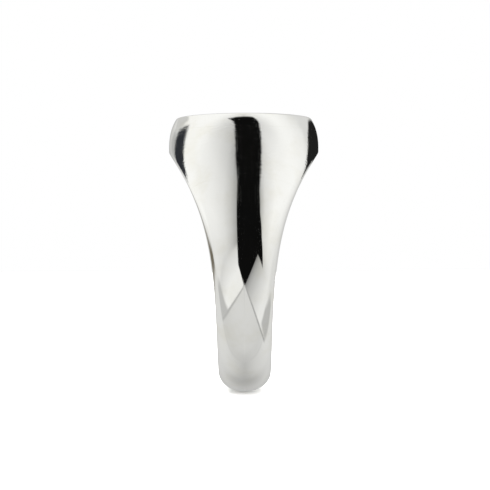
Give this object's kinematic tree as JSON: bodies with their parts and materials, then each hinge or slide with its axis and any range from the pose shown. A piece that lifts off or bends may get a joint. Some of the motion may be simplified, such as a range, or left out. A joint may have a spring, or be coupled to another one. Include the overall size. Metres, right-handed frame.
{
  "type": "signet ring",
  "caption": "Oval signet ring in mirror polished silver: plain flat table, solid head with curved end walls, and a shank that tapers to a narrow D section at the back.",
  "frame": {"origin": "centre of the finger hole, halfway along it and on its axis", "axes": "+X along the finger hole, +Z from the finger hole's centre up to the table, +Y across the hoop; the table faces +Z"},
  "size_m": [0.013, 0.0226, 0.0238],
  "materials": {
    "silver": "mirror polished sterling silver",
    "solder": "hard silver solder, filed and polished flush"
  },
  "bodies": {
    "root": {"table_plate": "silver", "table_solder": "solder", "signet_head": "silver", "shoulder_solder_left": "solder", "shoulder_solder_right": "solder", "shank_left": "silver", "shank_right": "silver", "back_solder": "solder"}
  },
  "joints": []
}
